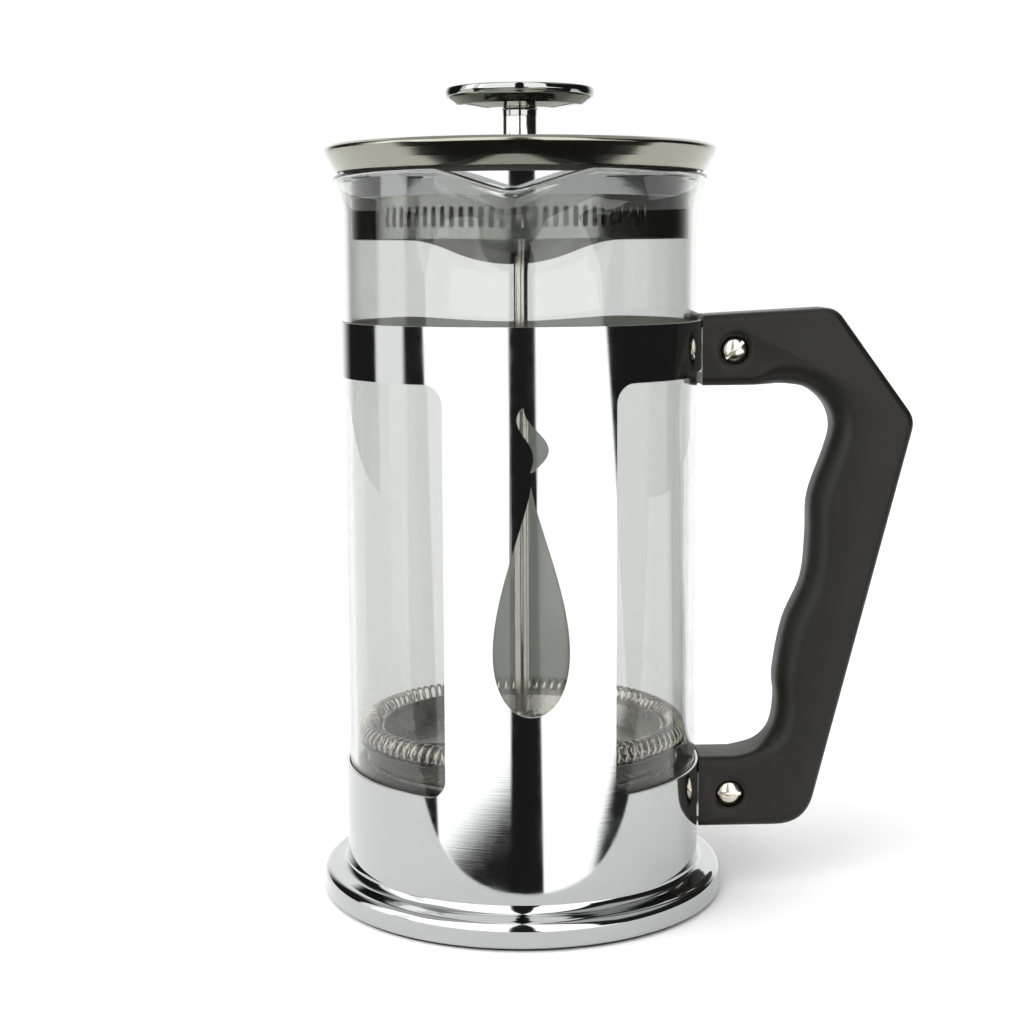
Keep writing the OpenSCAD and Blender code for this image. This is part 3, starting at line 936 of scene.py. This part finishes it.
@dataclass
class Beaker:
    """The blown glass beaker: a rounded foot, a straight wall, a flared rim and a drawn spout."""

    outer: float = 48.0
    wall: float = 2.0
    base: float = 9.5
    floor: float = 2.4
    corner: float = 6.0
    rim: float = 196.9
    flare: float = 2.3
    spout_root: float = 165.0
    spout_extra: float = 1.45
    spout_reach: float = 7.45
    spout_dip: float = 5.6
    spout_half_angle: float = 38.0
    spout_turn: float = -5.0

    def wall_line(self, inset: float) -> list[Point]:
        """Returns the outside of the wall, or the inside with an inset, from the foot to the rim."""
        radius = self.outer - inset
        corner = self.corner - inset
        bottom = self.base + inset * self.floor / self.wall
        line = [(0.0, bottom), (radius - corner, bottom)]
        line += arc((radius - corner, bottom + corner), corner, -90, 0, 10)[1:]
        start = self.rim - 26
        line += [(radius, bottom + corner + (start - bottom - corner) * i / 6) for i in range(1, 7)]
        for i in range(1, 25):
            height = start + (self.rim - 1.2 - start) * i / 24
            rise = max(0.0, (height - (self.rim - 11)) / 9.8)
            line.append((radius + (self.flare - inset * 0.1) * rise ** 1.7, height))
        return line

    def section(self) -> list[Point]:
        """Returns the glass's section: outside, rounded lip, inside."""
        outside, inside = self.wall_line(0), self.wall_line(self.wall)
        lip_out, lip_in = outside[-1], inside[-1]
        middle = ((lip_out[0] + lip_in[0]) / 2, lip_out[1])
        lip = arc(middle, (lip_out[0] - lip_in[0]) / 2, 0, 180, 10)
        return outside + lip[1:-1] + inside[::-1]

    def draw_spout(self, piece: Piece) -> None:
        """Pulls the wall out into the spout and dips its lip."""
        facing = math.radians(-90 + self.spout_turn)
        for vertex in piece.data.vertices:
            x, y, z = (c / MM for c in vertex.co)
            radius = math.hypot(x, y)
            inner = radius < self.outer - self.wall / 2 + max(0.0, z - self.rim + 11) * 0.22
            root = self.spout_root
            angle = abs(math.remainder(math.atan2(y, x) - facing, math.tau))
            wide = math.radians(self.spout_half_angle)
            if z < root or radius < 20 or angle >= wide:
                continue
            rise = min(1.0, (z - root) / (self.rim - 1.2 - root))
            half = wide - math.radians(16 * rise)
            bowl = math.cos(math.pi / 2 * min(1.0, angle / half)) ** 2
            tip = math.hypot(angle, 0.03) - 0.03
            beak = max(0.0, 1 - tip / half) ** 1.35
            across = bowl + (beak - bowl) * rise
            radius += self.spout_reach * rise ** 1.7 * across
            if inner:
                gain = min(max((z - 167) / 14, 0), 1)
                gain = gain * gain * (3 - 2 * gain) - 0.35 * min(max((z - 185) / 11, 0), 1)
                radius -= self.spout_extra * gain * math.cos(math.pi / 2 * angle / wide) ** 2
            z -= self.spout_dip * beak * rise ** 3
            turn = math.atan2(y, x)
            vertex.co = (radius * math.cos(turn) * MM, radius * math.sin(turn) * MM, z * MM)

    def build(self, finishes: Finishes) -> None:
        """Builds the beaker."""
        piece = lathe("glass_body", self.section(), steps=288, closed=False, angle=60)
        self.draw_spout(piece)
        shade(piece, 60)
        install(piece, finishes.glass, "beaker", "beaker_glass", "glass_beaker")


# ---- lid ----


@dataclass
class StrainerLid:
    """The polished lid: flared rim, recessed top, inner collar and slotted strainer ring."""

    widest: float = 51.9
    foot: float = 49.3
    bottom: float = 197.4
    top: float = 204.5
    dish: float = 203.4
    sheet: float = 0.7
    collar: float = 45.6
    collar_bottom: float = 190.6
    strainer: float = 45.15
    strainer_bottom: float = 179.8
    slots: int = 29
    slot_pitch: float = 3.2
    slot_width: float = 1.3
    slot_bottom: float = 182.6
    slot_top: float = 187.8
    slot_turn: float = -5.0

    def cap_section(self) -> list[Point]:
        """Returns the cap's closed section, from the foot over the rim to the bush hole and back."""
        sheet, dish, top = self.sheet, self.dish, self.top
        return rounded([
            (self.foot - 0.75, self.bottom, 0.2), (self.foot, self.bottom, 0.35),
            (self.foot + 1.5, self.bottom + 2.5, 3.0), (self.widest, top - 2.4, 2.4),
            (self.widest + 0.6, top - 0.9, 0.9), (self.widest - 0.7, top, 0.8), (self.widest - 3.0, top, 1.0),
            (46.9, dish, 1.2), (15.4, dish, 1.4), (13.2, dish + 0.3, 1.0), (5.2, dish + 0.3, 0),
            (5.2, dish + 0.3 - sheet, 0), (13.0, dish + 0.3 - sheet, 1.0), (15.2, dish - sheet, 1.4),
            (46.7, dish - sheet, 1.2), (self.widest - 3.2, top - sheet, 0.8),
            (self.widest - 1.2, top - sheet, 0.6), (self.widest - 1.7, top - 3.4, 1.5)],
            closed=True, steps=6)

    def strainer_piece(self) -> Piece:
        """Builds the strainer ring with its pouring slots."""
        r = self.strainer
        piece = lathe("strainer_skirt", [
            (r - 0.4, self.strainer_bottom), (r, self.strainer_bottom), (r, 194.0), (r - 0.4, 194.0)], 256)
        cutters = []
        for i in range(self.slots):
            turn = math.radians(
                -90 + self.slot_turn + (i - (self.slots - 1) / 2) * self.slot_pitch)
            cutter = primitive("cube", "slot", size=1)
            cutter.scale = (4 * MM, self.slot_width * MM, (self.slot_top - self.slot_bottom) * MM)
            cutter.location = (r * MM * math.cos(turn), r * MM * math.sin(turn),
                               (self.slot_top + self.slot_bottom) / 2 * MM)
            cutter.rotation_euler = (0, 0, turn)
            settle(cutter)
            ease_edges(cutter, 0.35, 40, "MITER_SHARP")
            cutters.append(cutter)
        make_active(cutters[0])
        for cutter in cutters:
            cutter.select_set(True)
        bpy.ops.object.join()
        subtract(piece, [cutters[0]])
        shade(piece, 25)
        return piece

    def build(self, finishes: Finishes) -> None:
        """Builds the cap, the collar and the strainer ring, and dresses the seal, bush and clip."""
        cap = lathe("lid_dome", self.cap_section(), 256, angle=30)
        install(cap, finishes.lid, "lid", "polished_steel", "lid_cap")
        c, low, high = self.collar, self.collar_bottom, self.bottom
        collar = lathe("lid_inner_collar", rounded([
            (self.foot - 0.95, high, 0), (self.foot - 0.95, high + 0.5, 0.2), (c - 0.4, high + 0.5, 0.4),
            (c - 0.4, low, 0.15), (c, low, 0.15), (c, high, 0.5)], closed=True, steps=4), 256, angle=30)
        install(collar, finishes.mirror, "lid", "polished_steel", "lid_collar")
        install(self.strainer_piece(), finishes.strainer, "lid", "satin_steel", "strainer_ring")
        dress_nodes(finishes.seal, "lid_seal")
        dress_nodes(finishes.nylon, "rod_bush")
        dress_nodes(finishes.satin, "bush_clip")


# ---- plunger ----


@dataclass
class PlungerGrip:
    """The round knob, its stem and the rod."""

    knob: float = 20.1
    underside: float = 214.0
    widest: float = 218.3
    crown: float = 220.3
    stem: float = 4.6
    stem_bottom: float = 205.3
    seam: float = 212.3

    def build(self, finishes: Finishes) -> None:
        """Builds the knob with its stem, and dresses the rod."""
        k, low, z = self.knob, self.underside, self.widest
        section = rounded([
            (0, self.seam + 0.05, 0), (self.stem, self.seam + 0.05, 0.08), (self.stem, low + 0.1, 0.5),
            (k - 10.5, low + 0.2, 2.0), (k - 3.4, low + 1.05, 1.6), (k - 0.35, z - 1.2, 1.2),
            (k, z + 0.1, 0.8), (k - 0.25, z + 1.4, 0.7), (k - 8, self.crown - 0.3, 3.0),
            (0, self.crown - 0.02, 0)], closed=False, steps=8)
        knob = lathe("plunger_knob", section, 200, closed=False, angle=50)
        install(knob, finishes.knob, "plunger", "polished_steel", "knob")
        stem = lathe("knob_ferrule", rounded([
            (1.95, self.stem_bottom, 0.1), (self.stem, self.stem_bottom, 0.3), (self.stem, self.seam, 0.08),
            (1.95, self.seam, 0.1)], closed=True, steps=4), 96)
        install(stem, finishes.rod, "plunger", "polished_steel", "knob_stem")
        dress_nodes(finishes.rod, "plunger_rod")


@dataclass
class FilterStack:
    """The filter: coil spring on the rim, upper plate, woven screen and perforated lower plate."""

    coil_radius: float = 42.5
    coil_height: float = 46.4
    tube: float = 2.95
    wire: float = 0.42
    turns: int = 109
    screen_bottom: float = 38.5
    rim: float = 45.2
    foot: float = 42.9

    def coil(self) -> Piece:
        """Winds the wire round the rim: a helix about a ring."""
        per_turn = 14
        count = self.turns * per_turn
        curve = bpy.data.curves.new("rim_spring", "CURVE")
        curve.dimensions = "3D"
        curve.bevel_depth = self.wire * MM
        curve.bevel_resolution = 1
        spline = curve.splines.new("POLY")
        spline.points.add(count - 1)
        reach = self.tube - self.wire
        for i, point in enumerate(spline.points):
            around = math.tau * i / count
            winding = math.tau * i / per_turn
            radius = self.coil_radius + reach * math.cos(winding)
            point.co = (radius * math.cos(around) * MM, radius * math.sin(around) * MM,
                        (self.coil_height + reach * math.sin(winding)) * MM, 1)
        spline.use_cyclic_u = True
        make_active(add_object("rim_spring", curve))
        bpy.ops.object.convert(target="MESH")
        piece = bpy.context.object
        clean(piece, 0.001)
        shade(piece, 60)
        return piece

    def screen(self) -> Piece:
        """Builds the woven cup: a flat disc and a skirt that is crimped out to the coil."""
        low, high = self.screen_bottom, self.coil_height - 2.6
        out = [(2.0, low), (self.foot - 1.4, low)]
        out += arc((self.foot - 1.4, low + 1.4), 1.4, -90, -20, 5)[1:]
        out += [(self.foot + (self.rim - self.foot) * (i / 8) ** 1.4,
                 low + 1.5 + (high - low - 1.5) * i / 8) for i in range(1, 9)]
        inner = [(x - 0.3, z + 0.1) for x, z in reversed(out[1:])] + [(2.0, low + 0.3)]
        inner = [(x, max(z, low + 0.3)) for x, z in inner]
        return lathe("wire_cloth", out + inner, 256, angle=50)

    def build(self, finishes: Finishes) -> None:
        """Builds the coil and the screen, and dresses the plates."""
        install(self.coil(), finishes.wire, "plunger", "spring_steel", "seal_coil")
        install(self.screen(), finishes.weave, "plunger", "mesh_steel", "mesh_screen")
        dress_nodes(finishes.satin, "press_plate", "cross_plate", "rod_collar", "plunger_boss")


# ---- studio ----


@dataclass(frozen=True)
class Card:
    """A glowing or dark area of the studio round the object.

    Directions are degrees: across from the camera's line towards the handle, and up from level. The left
    and right edges lean by some degrees for each degree up, as far as lean_limit, and the lower edge slopes.
    """

    left: float
    right: float
    low: float
    high: float
    level: float
    soft: float = 2.0
    soft_ends: float = 6.0
    lean: float = 0.0
    right_lean: float = 0.0
    slope: float = 0.0


@dataclass
class Studio:
    """The floor, the lights and the camera."""

    distance: float = 0.5096
    height: float = 0.17645
    azimuth: float = -2.85
    aim: float = 0.292
    pitch: float = 7.935
    roll: float = -0.27
    lens: float = 65.65
    table_edge: float = -0.086
    table_side: float = 0.9
    table_back: float = 1.6
    lean_limit: float = 5.0
    dark: float = 0.02
    lamp: float = 0.7
    cards: tuple[Card, ...] = (
        Card(-64.1, -7.5, -15.9, 95, 2.4, 2.0, 1.8, -0.5, 0.0, 0.05),
        Card(8.1, 50.5, -27.4, 95, 2.4, 1.5, 1.5, -0.27, -1.6, 0.2),
        Card(-103, -78, -25, 45, 1.5, 4.0, 4.0),
        Card(-93, -62, 1.5, 48, 1.8, 2.5, 3.0),
        Card(138, 214, -40, 42, 1.3, 22.0, 8.0),
        Card(62, 296, 40, 95, 0.7, 8.0, 12.0),
    )

    def floor(self, finishes: Finishes) -> None:
        """Lays the table, and the stretches round it that mirrors don't show."""
        far, side, edge, back = 3.0, self.table_side, self.table_edge, self.table_back
        for name, left, right, low, high in (
                ("table", -side, side, edge, back), ("table_front", -far, far, -far, edge),
                ("table_left", -far, -side, edge, back), ("table_right", side, far, edge, back),
                ("table_rear", -far, far, back, far)):
            piece = primitive("plane", name, size=1, location=((left + right) / 2, (low + high) / 2, 0))
            piece.scale = (right - left, high - low, 1)
            settle(piece)
            dress(piece, finishes.floor)
            piece.visible_glossy = name == "table"

    @staticmethod
    def ramp(tree: Tree, value: Socket, edge: float, soft: float, rising: bool) -> Socket:
        """Goes smoothly from 0 to 1, or from 1 to 0, across an edge, in degrees."""
        low, high = math.radians(edge - soft / 2), math.radians(edge + soft / 2)
        return add_node(tree, "ShaderNodeMapRange", {"interpolation_type": "SMOOTHSTEP"}, {
            "Value": value, "From Min": low, "From Max": high,
            "To Min": 0.0 if rising else 1.0, "To Max": 1.0 if rising else 0.0}).outputs[0]

    def surroundings(self) -> None:
        """Builds the world: a dark room with white cards, and plain white behind it for the camera."""
        world = bpy.data.worlds.new("studio")
        bpy.context.scene.world = world
        world.use_nodes = True
        tree = world.node_tree
        tree.nodes.clear()
        way = add_node(tree, "ShaderNodeTexCoord").outputs["Generated"]
        axes = add_node(tree, "ShaderNodeSeparateXYZ", None, {0: way})
        up = maths(tree, "ARCSINE", axes.outputs["Z"])
        back = maths(tree, "MULTIPLY", axes.outputs["Y"], -1.0)
        across = maths(tree, "ARCTAN2", axes.outputs["X"], back)
        turned = maths(tree, "ADD", across, maths(tree, "MULTIPLY", maths(
            tree, "LESS_THAN", across, 0.0), math.tau))
        total: object = self.dark
        tall = maths(tree, "MINIMUM", up, math.radians(self.lean_limit))
        for card in self.cards:
            sweep = turned if card.right > 180 else across
            left, right = card.left + self.azimuth, card.right + self.azimuth
            starts, ends = (maths(tree, "SUBTRACT", sweep, maths(tree, "MULTIPLY", tall, lean))
                            for lean in (card.lean, card.right_lean))
            sloped = maths(tree, "SUBTRACT", up, maths(tree, "MULTIPLY", sweep, card.slope))
            glow: object = card.level
            for value, edge, soft, rising in (
                    (starts, left, card.soft, True), (ends, right, card.soft, False),
                    (sloped, card.low, card.soft_ends, True), (up, card.high, card.soft_ends, False)):
                glow = maths(tree, "MULTIPLY", self.ramp(tree, value, edge, soft, rising), glow)
            total = maths(tree, "ADD", glow, total)
        room, plain = (add_node(tree, "ShaderNodeBackground", None, {
            "Color": (1, 1, 1, 1), "Strength": strength}) for strength in (total, 1.0))
        path = add_node(tree, "ShaderNodeLightPath")
        mix = add_node(tree, "ShaderNodeMixShader", None, {
            0: path.outputs["Is Camera Ray"], 1: room.outputs[0], 2: plain.outputs[0]})
        add_node(tree, "ShaderNodeOutputWorld", None, {"Surface": mix.outputs[0]})

    def lamps(self) -> None:
        """Hangs a wide soft light that lights the floor and the handle but doesn't show in the steel."""
        light = bpy.data.lights.new("soft_ceiling", "SUN")
        light.energy = self.lamp
        light.angle = math.radians(110)
        lamp = add_object("soft_ceiling", light)
        lamp.rotation_euler = (math.radians(-12), math.radians(-8), 0)
        lamp.visible_glossy = False

    def camera(self) -> None:
        """Sets the camera at its height and distance."""
        data = bpy.data.cameras.new("camera")
        data.lens = self.lens
        data.sensor_width = 36
        data.clip_start = 0.01
        camera = add_object("camera", data)
        swing = math.radians(self.azimuth)
        turn = Matrix.Rotation(swing + math.radians(self.aim), 4, "Z")
        tilt = Matrix.Rotation(math.radians(90 - self.pitch), 4, "X")
        roll = Matrix.Rotation(math.radians(self.roll), 4, "Z")
        place = Matrix.Translation((self.distance * math.sin(swing), -self.distance * math.cos(swing),
                                    self.height))
        camera.matrix_world = place @ turn @ tilt @ roll
        bpy.context.scene.camera = camera

    def build(self, finishes: Finishes) -> None:
        """Builds the studio."""
        self.camera()
        self.surroundings()
        self.lamps()
        self.floor(finishes)
        bpy.context.scene.view_settings.view_transform = "Standard"


def main() -> None:
    """Builds the object and its studio."""
    logging.basicConfig(level=logging.INFO, format="%(message)s")
    finishes = Finishes()
    studio = Studio()
    studio.build(finishes)
    screws = HandleScrews()
    Foot().build(finishes)
    Sleeve().build(finishes)
    SideHandle().build(finishes, screws)
    screws.build(finishes)
    Beaker().build(finishes)
    StrainerLid().build(finishes)
    PlungerGrip().build(finishes)
    FilterStack().build(finishes)


if __name__ == "__main__":
    main()
